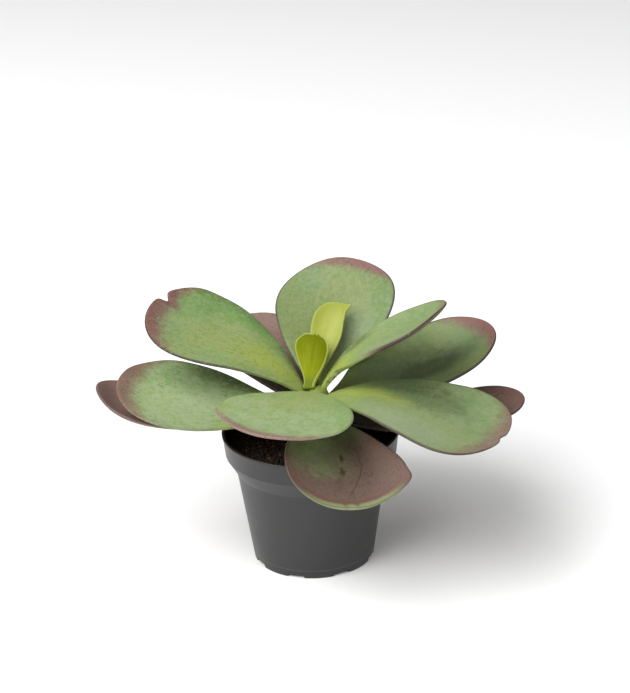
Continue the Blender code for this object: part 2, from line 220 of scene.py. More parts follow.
# How each leaf is coloured. Lengths are in millimetres.
# blush: how far the mauve reaches in from the margin. only_tip: how strongly it keeps to the tip.
# skew: how much further it reaches on the left side. soft: how gradually it fades.
# cover: how much of the green it hides. redness: share of red in the mauve.
# stalk: share of the length with the yellow-green of the stalk. yellow: how strong that is.
# bloom: how strong the powder is. edge: how mauve the rounded edge is.
# line: how strong the dark line on the margin is. marks: how strong the short scratches are.
# specks: how strong the fine spots and streaks are.
# paleness: how light the greens are. tip: how light the mauves are.
# bare: where along the blade the dark margin begins. ring: how strong a red line runs inside it.
LOOK_COLUMNS = (
    "blush only_tip skew soft cover redness stalk yellow bloom edge line marks specks paleness tip"
).split()
LEAF_LOOKS = {
    "leaf_back":        ( 14,    1, -5,  7, 0.95,  0.9,  0.2, 0.6, 0.15, 0.2, 0.85, 0.15,    1, 0.97,  1.1),
    "leaf_upper_left":  ( 24,    1,  5, 12, 0.95,    1, 0.32, 0.8, 0.15, 0.2, 0.85,  0.1,    2, 1.18,  1.1),
    "leaf_upper_right": (  7,  0.1, -5,  4,  0.7,  0.5, 0.45, 0.8,  0.3, 0.9,  0.8, 0.15,    1, 1.32,    1),
    "leaf_left":        ( 24,    1,  2, 14, 0.88,  0.6,  0.3, 0.4,    1, 0.1, 0.25,  0.8,    1, 1.44,  1.3),
    "leaf_right_back":  ( 20,    1,  5, 11, 0.95,  0.9,  0.3, 0.6, 0.15, 0.4, 0.95, 0.15, 0.35, 0.95,  1.1),
    "leaf_front":       (  9, 0.45, -3,  4,  0.9,  0.1, 0.25, 0.3,  0.8, 0.1,  0.1, 0.15,  0.8,  1.4, 1.45),
    "leaf_right_front": ( 19,    1,  2, 14,  0.8,  0.2,  0.3, 0.6, 0.55, 0.3, 0.85,  0.4,  0.6, 1.12,  1.3),
    "leaf_front_low":   ( 62,  0.8, 22, 18, 0.95,  0.5,  0.3, 0.2,  0.1, 0.3, 0.35,  0.5,  0.3,  1.2, 0.82),
    "leaf_far_left":    (350,    1,  0,  9, 0.95,  0.1,  0.1, 0.2,  0.3, 0.3,  0.6,  0.5,    1,    1,  1.6),
    "leaf_far_right":   (350,    1,  0,  9, 0.95, 0.55,  0.1, 0.2,  0.3, 0.3,  0.9,  0.3,    1,  0.8, 0.86),
    "leaf_back_left":   (350,    1,  0,  9, 0.95,  0.1,  0.1, 0.2,  0.3, 0.3,  0.3,  0.3,    1,  1.2,  1.5),
}
LOOK_START = dict(bare=0.25, ring=0)
OTHER_LOOKS = {"leaf_upper_right": dict(bare=0.42), "leaf_front_low": dict(ring=0.55)}
# Patches: tone, place along (0 to 1) and across (-1 to 1), half sizes there, and strength. The darkest
# green patches are painted shade where other leaves shade a blade.
LEAF_PATCHES = {
    "leaf_back": (
        ("cool", 0.45, 0.9, 0.5, 0.5, 0.2), ("warm", 0.65, -0.1, 0.35, 0.6, 0.5),
        # the first bloom patch below is painted light over the young leaves' shadow
        ("bloom", 0.42, -0.45, 0.22, 0.45, 0.7), ("warm", 0.35, 0.6, 0.25, 0.5, 0.7),
        ("vivid", 0.75, -0.95, 0.3, 0.4, 0.6),
    ),
    "leaf_upper_left": (
        ("vivid", 0.55, -0.9, 0.45, 0.45, 0.8), ("vivid", 0.82, -0.5, 0.2, 0.5, 0.4),
        ("stalk", 0.33, 0.15, 0.2, 0.6, 1.0), ("stalk", 0.45, 0.3, 0.3, 0.6, 0.35),
        # the darkest green patches below are painted shade
        ("warm", 0.62, 0.1, 0.3, 0.5, 0.4), ("deep", 0.18, -0.8, 0.18, 0.5, 0.6),
        ("deep", 0.6, -1.0, 0.4, 0.25, 0.35),
    ),
    "leaf_upper_right": (
        ("stalk", 0.18, -0.4, 0.18, 0.9, 0.8), ("bloom", 0.6, -0.6, 0.3, 0.4, 0.6),
        # the darkest green patch below is painted shade on the far half near the stalk
        ("deep", 0.33, 0.66, 0.13, 0.4, 0.7),
    ),
    "leaf_left": (
        ("stalk", 0.33, 0.95, 0.16, 0.4, 0.8), ("cool", 0.7, -0.5, 0.3, 0.5, 0.4),
        # the bloom patch below is painted light on the middle of the blade; the darkest green patch is
        # painted shade on the far edge
        ("bloom", 0.55, 0.1, 0.35, 0.6, 0.8), ("deep", 0.4, -1.0, 0.36, 0.45, 0.8),
    ),
    "leaf_right_back": (
        # both patches below are painted shade from the leaf above
        ("deep", 0.4, 0.5, 0.38, 0.5, 0.7), ("deep", 0.6, -0.05, 0.32, 0.45, 0.85),
    ),
    "leaf_front": (
        ("vivid", 0.5, 0.95, 0.4, 0.35, 0.3), ("warm", 0.35, 0.0, 0.3, 0.6, 0.4),
    ),
    "leaf_right_front": (
        ("stalk", 0.22, 0.15, 0.16, 0.45, 0.8), ("stalk", 0.4, 0.02, 0.14, 0.25, 0.6),
        # the bloom patch below is painted light on the lower side; the darkest green patches are painted
        # shade
        ("bloom", 0.6, -0.7, 0.35, 0.45, 1.0), ("deep", 0.38, 0.7, 0.26, 0.45, 0.7),
        ("deep", 0.55, 0.32, 0.26, 0.45, 0.55),
    ),
    "leaf_front_low": (
        # the bloom patch below is painted light in the front leaf's shadow
        ("bloom", 0.35, -0.2, 0.2, 0.6, 0.6), ("mauve", 0.57, 0.1, 0.3, 0.5, 0.6),
    ),
}
TIP_TONES = ("mauve", "red", "margin")
SKIN_NOISES = {  # fineness, detail and roughness of the clouds and grains in a grown leaf's skin
    "broad": (32.0, 2.0, 0.5),
    "cloud": (120.0, 4.0, 0.6),
    "mottle": (330.0, 4.0, 0.7),
    "speck": (900.0, 2.0, 0.5),
}
SKIN_RELIEF = 0.3 * MM

# The crease of the low front leaf: place along and across at points of it, and its forked end
CREASE = ((0.45, 0.40), (0.60, 0.37), (0.72, 0.29), (0.80, 0.17), (0.93, 0.02))
FORK_START = 0.84
FORK_SPREAD = 0.6
BRUISES = ((0.56, 0.09), (0.68, 0.03))
BRUISE_SIZE = (0.05, 0.05, 1.0)
SPOT_FADE = (1.2, 0.3)  # where a patch or a bruise begins and is full, in half sizes from its middle

# Camera and stage
LOOK_AT = Vector((4.8 * MM, 0.0, 152.5 * MM))
ORBIT_CENTRE = Vector((0.0, 0.0, 45.0 * MM))
SENSOR = 36.0
FLOOR_HALF = 8.0
LIGHT_AIM = Vector((0.0, 0.0, 100.0 * MM))
LIGHTS = (  # name, place and size
    ("key", (-1.72, -2.05, 3.07), 4.0),
    ("side", (-1.93, 0.52, 3.56), 3.0),
    ("fill", (3.20, -1.49, 1.98), 2.4),
    ("front", (1.06, -2.62, 2.93), 2.4),
)


def number(name, description, default, **more):
    return FloatProperty(name=name, description=description, default=default, **more)


def whole(name, description, default, least=0):
    return IntProperty(name=name, description=description, default=default, min=least)


def tint(name, description, default):
    return FloatVectorProperty(
        name=name, description=description, default=default, size=3, min=0.0, max=1.0, subtype="COLOR"
    )


class AgaveLeafSettings(bpy.types.PropertyGroup):
    """Mesh and colours of the leaves"""

    sides: whole("Points Around", "Points round a leaf", 128, 16)
    rings: whole("Points Along", "Rings of points along a leaf", 112, 12)
    ripple: number(
        "Ripple", "Height of the soft unevenness of a blade", 0.35 * MM, min=0.0, unit="LENGTH"
    )
    sage: tint("Sage", "Main colour of a grown leaf", (0.170, 0.222, 0.076))
    cool: tint("Cool Green", "Bluish green of the shaded skin", (0.145, 0.215, 0.088))
    warm: tint("Warm Green", "Olive green of the sunned skin", (0.185, 0.216, 0.068))
    vivid: tint("Vivid Green", "Brighter green along some margins", (0.085, 0.178, 0.040))
    # painted shade: the darkest green, where other leaves shade parts of some blades
    deep: tint("Deep Green", "Deep green low on some blades", (0.045, 0.062, 0.024))
    stalk: tint("Stalk", "Yellow-green near the stem", (0.241, 0.286, 0.045))
    # pale powder, also painted light in a few patches
    bloom: tint("Bloom", "Pale powder on the skin", (0.205, 0.252, 0.138))
    mauve: tint("Mauve", "Brown-mauve of the tips", (0.155, 0.092, 0.082))
    red: tint("Red Mauve", "Redder part of the tips", (0.180, 0.068, 0.062))
    margin: tint("Margin", "Thin dark line on the margin", (0.030, 0.017, 0.014))
    # dark marks, also painted shade at the old leaves' stalks
    shade: tint("Marks", "Dark marks in the skin", (0.040, 0.030, 0.022))
    pale: tint("Underside", "Paler green below a grown leaf", (0.190, 0.225, 0.105))
    young: tint("Young", "Yellow-green of the young leaves", (0.175, 0.212, 0.002))
    # pale colour, also painted highlight on the young leaves' rims and ridge
    young_pale: tint("Young Pale", "Pale rim and band of the young leaves", (0.330, 0.360, 0.095))
    # olive green, also painted shade inside the young front leaf's hood
    young_deep: tint("Young Deep", "Olive green inside the young leaves", (0.105, 0.128, 0.001))
    # painted shade: darker green low on the young leaves
    young_stalk: tint("Young Stalk", "Plain green low on the young leaves", (0.090, 0.122, 0.016))


class AgaveStemSettings(bpy.types.PropertyGroup):
    """Colours of the stem"""

    fresh: tint("Fresh", "Yellow-green of the crown", (0.140, 0.185, 0.032))
    bark: tint("Bark", "Brown-green of the old stem", (0.110, 0.105, 0.050))
    ridge: number(
        "Ridge", "Height of the ridges left by shed leaves", 0.25 * MM, min=0.0, unit="LENGTH"
    )


class AgaveSoilSettings(bpy.types.PropertyGroup):
    """Crumbs, fibres and colours of the soil"""

    crumbs: whole("Crumbs", "Number of crumbs on the soil", 2600)
    fibres: whole("Fibres", "Number of fibres on the soil", 260)
    crumb_size: number("Crumb Size", "Radius of a middling crumb", 1.0 * MM, min=0.0, unit="LENGTH")
    dark: tint("Dark", "Colour of damp peat", (0.020, 0.012, 0.009))
    brown: tint("Brown", "Colour of dry crumbs and fibres", (0.075, 0.036, 0.022))


class AgavePotSettings(bpy.types.PropertyGroup):
    """Wall and colour of the nursery pot"""

    wall: number("Wall", "Thickness of the pot's wall", WALL, min=0.5 * MM, unit="LENGTH")
    plastic: tint("Plastic", "Colour of the moulded plastic", (0.011, 0.011, 0.011))
    scuff: tint("Scuffs", "Colour of dust and scuffs", (0.110, 0.110, 0.110))


class AgaveStageSettings(bpy.types.PropertyGroup):
    """Floor, lights and camera"""

    floor: tint("Floor", "Colour of the floor", (0.930, 0.930, 0.930))
    sky: number("Surround", "Strength of the even light", 0.10, min=0.0)
    key: number("Key Light", "Power of the front left light", 236.0, unit="POWER")
    side: number("Side Light", "Power of the left light", 60.0, unit="POWER")
    fill: number("Fill Light", "Power of the right light", 33.0, unit="POWER")
    front: number("Front Light", "Power of the front light", 25.0, unit="POWER")
    distance: number("Distance", "Camera's distance from the pot", 1.4, unit="LENGTH")
    elevation: number(
        "Elevation", "Camera's height as an angle", math.radians(26.3), subtype="ANGLE"
    )
    roll: number(
        "Roll", "Camera's turn about its line of sight", math.radians(-1.75), subtype="ANGLE"
    )
    lens: number("Lens", "Focal length in millimetres", 105.7)


class AgaveSettings(bpy.types.PropertyGroup):
    """All settings of the potted agave"""

    leaves: PointerProperty(type=AgaveLeafSettings)
    stem: PointerProperty(type=AgaveStemSettings)
    soil: PointerProperty(type=AgaveSoilSettings)
    pot: PointerProperty(type=AgavePotSettings)
    stage: PointerProperty(type=AgaveStageSettings)


class Finish:
    """A material whose nodes are added one step at a time, over the first of its tones."""

    def __init__(self, name, tones, first, lightness=lambda tone: 1.0):
        self.material = bpy.data.materials.new(name)
        self.material.use_nodes = True
        self.tree = self.material.node_tree
        self.tones = tones
        self.colour = first
        self.lightness = lightness

    def feed(self, socket, value):
        """Gives a socket a number, a colour, a tone by its name, or another node's output."""
        if isinstance(value, str):
            value = [part * self.lightness(value) for part in getattr(self.tones, value)]
        if isinstance(value, bpy.types.NodeSocket):
            self.tree.links.new(value, socket)
        elif socket.type == "RGBA":
            socket.default_value = (*value, 1.0)
        else:
            socket.default_value = value

    def node(self, kind, inputs, output=0, **settings):
        """Adds a node, feeds its inputs by name or number, and returns an output of it."""
        node = self.tree.nodes.new(kind)
        for key, value in settings.items():
            setattr(node, key, value)
        for key, value in inputs.items():
            self.feed(node.inputs[key], value)
        return node.outputs[output]

    def math(self, operation, *values):
        return self.node("ShaderNodeMath", dict(enumerate(values)), operation=operation)

    def sum(self, first, *others):
        for other in others:
            first = self.math("ADD", first, other)
        return first

    def times(self, *shares):
        """All shares multiplied, after each one of (value, start, end) is eased."""
        first, *others = (self.ease(*each) if isinstance(each, tuple) else each for each in shares)
        for other in others:
            first = self.math("MULTIPLY", first, other)
        return first

    def swing(self, value, size):
        """A noise value of 0 to 1 turned into one of -size to size."""
        return self.math("MULTIPLY_ADD", value, 2.0 * size, -size)

    def off(self, value, middle):
        """How far a value lies from the middle one."""
        return self.math("ABSOLUTE", self.math("SUBTRACT", value, middle))

    def ease(self, value, start, end):
        """0 at start, 1 at end, and eased between them."""
        inputs = {"Value": value, "From Min": start, "From Max": end}
        return self.node("ShaderNodeMapRange", inputs, interpolation_type="SMOOTHSTEP")

    def blend(self, colour, tone, *shares):
        """The tone over the colour, as strongly as its shares multiplied."""
        inputs = {0: self.times(*shares), 6: colour, 7: tone}
        return self.node("ShaderNodeMix", inputs, 2, data_type="RGBA")

    def paint(self, tone, *shares):
        """Lays a tone over the colour so far."""
        self.colour = self.blend(self.colour, tone, *shares)

    def place(self):
        return self.node("ShaderNodeTexCoord", {}, "Object")

    def height(self):
        return self.node("ShaderNodeSeparateXYZ", {0: self.place()}, "Z")

    def attribute(self, name):
        return self.node("ShaderNodeAttribute", {}, "Fac", attribute_name=name)

    def vector(self, x, y):
        return self.node("ShaderNodeCombineXYZ", {"X": x, "Y": y})

    def vector_math(self, operation, first, second):
        return self.node("ShaderNodeVectorMath", {0: first, 1: second}, operation=operation)

    def noise(self, where, scale, detail=2.0, roughness=0.5):
        inputs = {"Vector": where, "Scale": scale, "Detail": detail, "Roughness": roughness}
        return self.node("ShaderNodeTexNoise", inputs, "Fac")

    def streaks(self, at, fine_along, fine_across):
        """Noise drawn out along a leaf."""
        where = self.vector(self.times(at.along, fine_along), self.times(at.side, fine_across))
        return self.noise(where, 1.0, detail=3.0)

    def spot(self, where, centre, half_sizes, wander):
        """1 in the middle of an oval place, falling to 0 past its edge."""
        offset = self.vector_math("SUBTRACT", where, centre)
        scaled = self.vector_math("DIVIDE", offset, half_sizes)
        distance = self.node("ShaderNodeVectorMath", {0: scaled}, "Value", operation="LENGTH")
        return self.ease(self.sum(distance, wander), *SPOT_FADE)

    def finished(self, roughness, gloss, relief=None, depth=0.0):
        """The material, with its colour, roughness, gloss and relief on the shader."""
        inputs = self.tree.nodes["Principled BSDF"].inputs
        self.feed(inputs["Base Color"], self.colour)
        self.feed(inputs["Roughness"], roughness)
        self.feed(inputs["Specular IOR Level"], gloss)
        if relief is not None:
            bump = self.node("ShaderNodeBump", {"Height": relief, "Distance": depth})
            self.feed(inputs["Normal"], bump)
        return self.material


def add_object(name, data):
    """An object at the origin that holds this mesh, light or camera."""
    made = bpy.data.objects.new(name, data)
    bpy.context.scene.collection.objects.link(made)
    return made


def mesh_object(name, bm):
    mesh = bpy.data.meshes.new(name)
    bm.to_mesh(mesh)
    bm.free()
    return add_object(name, mesh)


def finished_piece(name, bm, material, node, sharp=None):
    """Makes the mesh an object that stands for a node of the frame."""
    piece = mesh_object(name, bm)
    piece.data.shade_smooth()
    if sharp:
        piece.data.set_sharp_from_angle(angle=math.radians(sharp))
    piece.data.materials.append(material)
    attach(piece, "root")
    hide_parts(node)
    return piece


def turned(points, steps, at_x=0.0, rounding=0.0):
    """An outline of (radius, height) points, its corners rounded, turned round an upright axis."""
    bm = bmesh.new()
    verts = [bm.verts.new((radius, 0.0, height)) for radius, height in points]
    for first, second in zip(verts, verts[1:]):
        bm.edges.new((first, second))
    if rounding:
        bmesh.ops.bevel(
            bm, geom=verts[1:-1], offset=rounding, offset_type="OFFSET", segments=3, profile=0.5,
            affect="VERTICES", material=-1,
        )
    bmesh.ops.spin(
        bm, geom=bm.verts[:] + bm.edges[:], axis=(0, 0, 1), cent=(0, 0, 0), angle=math.tau,
        steps=steps, use_merge=True, use_duplicate=False,
    )
    bmesh.ops.remove_doubles(bm, verts=bm.verts, dist=JOINED)
    bmesh.ops.recalc_face_normals(bm, faces=bm.faces)
    bmesh.ops.translate(bm, vec=(at_x, 0, 0), verts=bm.verts)
    return bm


def smooth_step(x):
    x = np.clip(x, 0.0, 1.0)
    return x * x * (3.0 - 2.0 * x)


def midrib(leaf):
    """Points and directions along a leaf's middle, in its own frame with +X along its heading."""
    t = np.linspace(0.0, 1.0, MIDRIB_STEPS + 1)
    heading = np.radians(leaf.sweep) * t
    climb = np.radians(leaf.rise + leaf.arch * t + leaf.curl * t**4)
    along = np.stack([np.cos(climb) * np.cos(heading), np.cos(climb) * np.sin(heading), np.sin(climb)], 1)
    step = leaf.length * MM / MIDRIB_STEPS
    points = np.vstack([np.zeros(3), np.cumsum((along[1:] + along[:-1]) / 2 * step, axis=0)])
    level = np.stack([-np.sin(heading), np.cos(heading), np.zeros_like(t)], 1)
    up = np.cross(along, level)
    roll = np.radians(leaf.roll + leaf.twist * t)[:, None]
    left = level * np.cos(roll) + up * np.sin(roll)
    face = up * np.cos(roll) - level * np.sin(roll)
    return t, points, along, left, face


def half_width(leaf, t, side):
    """A paddle: narrow at the stalk, widest past the middle, blunt at the tip."""
    power, end = leaf.fullness, leaf.end
    widest = (2 * power / (end + 2 * power)) ** (1 / end)
    largest = widest**power * math.sqrt(1.0 - widest**end)
    blade = t**power * np.sqrt(np.clip(1.0 - t**end, 0.0, 1.0)) / largest
    stalk = leaf.stalk * MM / 2 * (1.0 - t) ** 2
    width = np.sqrt((leaf.width * MM / 2 * blade) ** 2 + stalk**2)
    for which, place, spread, share in leaf.bulges:
        width = width * (1.0 + share * np.exp(-(((t - place) / spread) ** 2)) * np.clip(which * side, 0, 1))
    return width


def ripples(leaf, t, across):
    """Soft unevenness of a blade, as three waves at angles of their own."""
    lift = 0.0
    for wave, turn, phase in leaf.waves:
        path = t * leaf.length * MM * math.cos(turn) + across * math.sin(turn)
        lift = lift + np.sin(math.tau * path / wave + phase) / WAVES
    return leaf.ripple * lift * smooth_step(t / LIP_GROWTH)


def blade_surface(leaf, t, side):
    """The middle surface of a leaf at t along it (0 to 1) and side across it (-1 to 1)."""
    stations, *curves = midrib(leaf)
    point, along, left, face = (
        np.stack([np.interp(t, stations, curve[:, axis]) for axis in range(3)], -1) for curve in curves
    )
    across = half_width(leaf, t, side) * side
    bend = math.radians(leaf.cup) / (leaf.width * MM / 2)
    sideways = np.sin(across * bend) / bend
    lift = (1.0 - np.cos(across * bend)) / bend
    crease = 1.0 - np.exp(-np.abs(across) / FOLD_WIDTH)
    lift = lift + leaf.fold * MM * crease * np.sin(math.pi * t)
    lip = (side**SIDE_LIP_POWER * smooth_step(t / LIP_GROWTH) + t**TIP_LIP_POWER) / 2
    lift = lift + leaf.lip * MM * lip + ripples(leaf, t, across)
    depth, place, spread = (value * MM for value in leaf.notch)
    near_tip = smooth_step((t - (1.0 - NOTCH_REACH)) / NOTCH_REACH)
    dent = depth * np.exp(-(((across - place) / spread) ** 2)) * near_tip
    return (
        point
        + sideways[..., None] * left
        + lift[..., None] * face
        - dent[..., None] * along
    )


def half_thickness(leaf, t):
    stalk, blade, tip = leaf.halves
    thick = stalk + (blade - stalk) * smooth_step(t / STALK_SHARE)
    return thick + (tip - blade) * smooth_step((t - STALK_SHARE) / (1.0 - STALK_SHARE))


def leaf_points(leaf, t, side, upper, radius):
    """Points of the skin, on the upper face where upper is over 0, and the lower one where it is under."""
    near = np.clip(t, SMALL_STEP, 1.0 - SMALL_STEP)
    ahead = blade_surface(leaf, np.minimum(t + SMALL_STEP, 1.0), side)
    behind = blade_surface(leaf, np.maximum(t - SMALL_STEP, 0.0), side)
    leftward = blade_surface(leaf, near, side + SMALL_STEP)
    rightward = blade_surface(leaf, near, side - SMALL_STEP)
    normal = np.cross(ahead - behind, leftward - rightward)
    normal /= np.linalg.norm(normal, axis=1, keepdims=True)
    swell = np.sign(upper) * np.abs(upper) ** ROUNDING * half_thickness(leaf, t) * radius**TIP_ROUNDING
    return blade_surface(leaf, t, side) + swell[:, None] * normal


def margin_distance(leaf, t, side):
    """How far a point lies in from the leaf's margin, in millimetres, on the flattened leaf."""
    along = np.linspace(MARGIN_START, 1.0, MARGIN_STEPS)
    here = np.stack([t * leaf.length * MM, half_width(leaf, t, side) * side], 1)
    nearest = []
    for which in (-1.0, 1.0):
        edge = np.stack([along * leaf.length * MM, which * half_width(leaf, along, which)], 1)
        nearest.append(np.linalg.norm(here[:, None, :] - edge[None, :, :], axis=2).min(axis=1))
    return np.minimum(*nearest) / MM


def leaf_sizes(name):
    """A leaf's row of the table, with what else shapes it."""
    columns = dict(zip(LEAF_COLUMNS, LEAVES[name]))
    return SimpleNamespace(**{**LEAF_START, **columns, **LEAF_SHAPES.get(name, {})})


def leaf_settings(name, settings):
    """The leaf's own sizes, with its waves drawn from its own seed."""
    young = name in YOUNG_LEAVES
    leaf = leaf_sizes(name)
    leaf.length *= FINE_LENGTH
    leaf.halves = YOUNG_HALVES if young else HALVES
    leaf.ripple = settings.ripple * (YOUNG_RIPPLE if young else 1.0)
    draw = random.Random(name)
    leaf.waves = [
        (draw.uniform(*WAVE_LENGTHS) * MM, draw.uniform(0, math.tau), draw.uniform(0, math.tau))
        for _ in range(WAVES)
    ]
    return leaf


def grow_leaf(name, settings, finish):
    """One leaf, shaped from a ball: its height runs along the leaf, its girth across."""
    leaf = leaf_settings(name, settings)
    coarser = 2 if name in YOUNG_LEAVES else 1
    bm = bmesh.new()
    bmesh.ops.create_uvsphere(
        bm, u_segments=settings.sides // coarser, v_segments=settings.rings // coarser, radius=1.0
    )
    ball = np.array([vertex.co[:] for vertex in bm.verts])
    t = (ball[:, 2] + 1.0) / 2.0
    turn = np.arctan2(ball[:, 1], ball[:, 0])
    side = np.cos(turn)
    upper = np.sin(turn)
    heading = Matrix.Rotation(math.radians(leaf.heading), 3, "Z")
    foot = Vector((STEM_X, 0.0, 0.0)) + heading @ (Vector((leaf.out, leaf.aside, leaf.height)) * MM)
    points = leaf_points(leaf, t, side, upper, np.hypot(ball[:, 0], ball[:, 1]))
    for vertex, point in zip(bm.verts, points):
        vertex.co = point
    bmesh.ops.rotate(bm, verts=bm.verts, cent=(0, 0, 0), matrix=heading)
    bmesh.ops.translate(bm, verts=bm.verts, vec=foot)
    bmesh.ops.recalc_face_normals(bm, faces=bm.faces)
    piece = finished_piece(f"{name}_skin", bm, finish, name)
    for field, values in zip(LEAF_FIELDS, (t, side, upper, margin_distance(leaf, t, side))):
        attribute = piece.data.attributes.new(field, "FLOAT", "POINT")
        attribute.data.foreach_set("value", values.astype(np.float32))


def leaf_fields(skin):
    return SimpleNamespace(**{field: skin.attribute(field) for field in LEAF_FIELDS})


def leaf_look(name):
    """All that colours one leaf: its row of the table, what few leaves have, and its patches."""
    columns = dict(zip(LOOK_COLUMNS, LEAF_LOOKS[name]))
    look = SimpleNamespace(**{**LOOK_START, **columns, **OTHER_LOOKS.get(name, {})})
    look.old = name in OLD_LEAVES
    look.rough = min(look.specks, 1.0)
    look.patches = LEAF_PATCHES.get(name, ())
    return look


def leaf_finish(name, settings):
    """Green skin, yellower at the stalk, mauve at the tip, with powder, marks and a dark rim, and painted
    shade and painted light in places.
    """
    look = leaf_look(name)

    def lightness(tone):
        return look.tip if tone in TIP_TONES else look.paleness

    skin = Finish(f"{name}_finish", settings, "sage", lightness)
    at = leaf_fields(skin)
    place = skin.place()
    for grain, numbers in SKIN_NOISES.items():
        setattr(at, grain, skin.noise(place, *numbers))
    at.lines = skin.streaks(at, fine_along=5.0, fine_across=45.0)

    leaf_greens(skin, look, at)
    tip_blush(skin, look, at, leaf_sizes(name).length)
    edge_colour(skin, look, at)
    # old leaves: darker towards the stalk, partly drier skin and partly painted shade under the leaves
    # above
    if look.old:  # darker towards the stalk
        skin.paint("shade", (at.along, 0.55, 0.2), 0.8)
    skin_marks(skin, look, at)
    if name == "leaf_front_low":
        crease_colour(skin, at)

    roughness = skin.math("MULTIPLY_ADD", at.cloud, 0.16, 0.46)
    relief = skin.sum(skin.times(at.cloud, 0.5), skin.times(at.lines, 0.4 * look.rough))
    relief = skin.sum(relief, skin.times(at.mottle, 0.3), skin.times(at.speck, 0.12))
    return skin.finished(roughness, gloss=0.35, relief=relief, depth=SKIN_RELIEF)


def leaf_greens(skin, look, at):
    """Clouds and patches of green, yellower at the stalk, powdery further out, paler or mauve below; some
    patches are painted shade or painted light.
    """
    skin.paint("cool", (at.broad, 0.40, 0.62))
    skin.paint("warm", (at.cloud, 0.45, 0.65), 0.4)
    from_stalk = skin.sum(at.along, skin.swing(at.cloud, 0.12))
    skin.paint("stalk", (from_stalk, look.stalk * 1.3, 0.05), look.yellow)
    skin.paint("bloom", (at.cloud, 0.35, 0.60), (at.along, 0.25, 0.6), look.bloom)
    leafwise = skin.vector(at.along, at.side)
    for tone, t, across, half_t, half_across, strength in look.patches:
        wander = skin.swing(at.cloud, 0.4)
        share = skin.spot(leafwise, (t, across, 0.0), (half_t, half_across, 1.0), wander)
        skin.paint(tone, share, strength)
    skin.paint("bloom", (at.mottle, 0.50, 0.64), 0.50 * look.rough)
    skin.paint("vivid", (at.mottle, 0.50, 0.36), 0.50 * look.rough)
    underside = skin.blend("mauve" if look.old else "pale", skin.colour, 0.35)
    skin.paint(underside, (at.upper, 0.05, -0.25))


def tip_blush(skin, look, at, length):
    """Mauve that spreads in from the tip, redder towards the margin and streaked."""
    to_tip = skin.times(skin.math("SUBTRACT", 1.0, at.along), look.only_tip * length)
    reach = skin.sum(at.rim, to_tip, skin.times(at.side, -look.skew), skin.swing(at.cloud, look.soft * 0.6))
    reach = skin.sum(reach, skin.swing(at.speck, look.soft * 0.5), skin.swing(at.mottle, look.soft * 0.5))
    blush = skin.ease(reach, look.blush + look.soft, look.blush - look.soft)
    near_margin = 1.0
    if not look.old:
        blush = skin.times(blush, (at.along, look.bare - 0.1, look.bare + 0.2))
        near_margin = skin.ease(skin.sum(at.rim, skin.swing(at.cloud, 6.0)), 16.0, 0.5)
    streaks = skin.ease(skin.sum(at.lines, skin.swing(at.mottle, 0.2)), 0.25, 0.6)
    tip = skin.blend("mauve", "red", near_margin, streaks, look.redness)
    tip = skin.blend(tip, "bloom", (at.speck, 0.55, 0.70), 0.30 * look.rough)
    tip = skin.blend(tip, "margin", (at.mottle, 0.46, 0.34), 0.35)
    skin.paint(tip, blush, look.cover)


def edge_colour(skin, look, at):
    """The rounded edge, the dark line on it, and on one leaf a red ring and a pale end inside it."""
    wavy_rim = skin.sum(at.rim, skin.swing(at.cloud, 0.6))
    outward = skin.ease(at.along, look.bare, look.bare + 0.25)
    below = skin.times((at.upper, 0.45, 0.1), (wavy_rim, 3.2, 0.8), outward)
    skin.paint("mauve", below, look.edge)
    if look.ring:
        skin.paint("red", (skin.off(wavy_rim, 6.0), 1.6, 0.2), (at.along, 0.6, 0.9), look.ring)
        skin.paint("pale", (at.along, 0.86, 0.97), (wavy_rim, 5.5, 2.5), 0.85)
    line = skin.times((at.upper, 0.30, 0.10), (at.upper, -0.45, -0.15), outward)
    skin.paint("margin", line, look.line)


def skin_marks(skin, look, at):
    """Pale and dark specks, fine streaks along the leaf, and short dark scratches."""
    skin.paint("bloom", (at.speck, 0.62, 0.72), 0.45 * look.specks)
    skin.paint("margin", (at.speck, 0.40, 0.28), 0.30 * look.rough)
    skin.paint("margin", (at.lines, 0.50, 0.70), 0.14 * look.rough)
    skin.paint("bloom", (at.lines, 0.48, 0.30), 0.16 * look.rough)
    off_scratch = skin.off(skin.streaks(at, fine_along=7.0, fine_across=9.0), 0.55)
    skin.paint("shade", (off_scratch, 0.012, 0.0), (at.cloud, 0.54, 0.62), look.marks)


def crease_colour(skin, at):
    """A thin dark crease that winds along the blade, forked at its end, and two bruises beside it."""
    curve = skin.tree.nodes.new("ShaderNodeFloatCurve")
    points = curve.mapping.curves[0].points
    points[0].location, points[1].location = CREASE[0], CREASE[-1]
    for place in CREASE[1:-1]:
        points.new(*place)
    curve.mapping.update()
    skin.feed(curve.inputs["Value"], at.along)
    wander = skin.sum(skin.swing(at.cloud, 0.05), skin.swing(at.mottle, 0.03))
    off = skin.off(at.side, skin.sum(curve.outputs["Value"], wander))
    past_fork = skin.math("SUBTRACT", at.along, FORK_START)
    fork = skin.math("MAXIMUM", skin.times(past_fork, FORK_SPREAD), 0.0)
    reach = skin.times((at.along, 0.44, 0.52), (at.along, 0.93, 0.88), (at.mottle, 0.36, 0.52))
    skin.paint("shade", (skin.off(off, fork), 0.024, 0.0), reach, 0.8)
    leafwise = skin.vector(at.along, at.side)
    for t, across in BRUISES:
        share = skin.spot(leafwise, (t, across, 0.0), BRUISE_SIZE, skin.swing(at.mottle, 0.9))
        skin.paint("shade", share, 0.85)


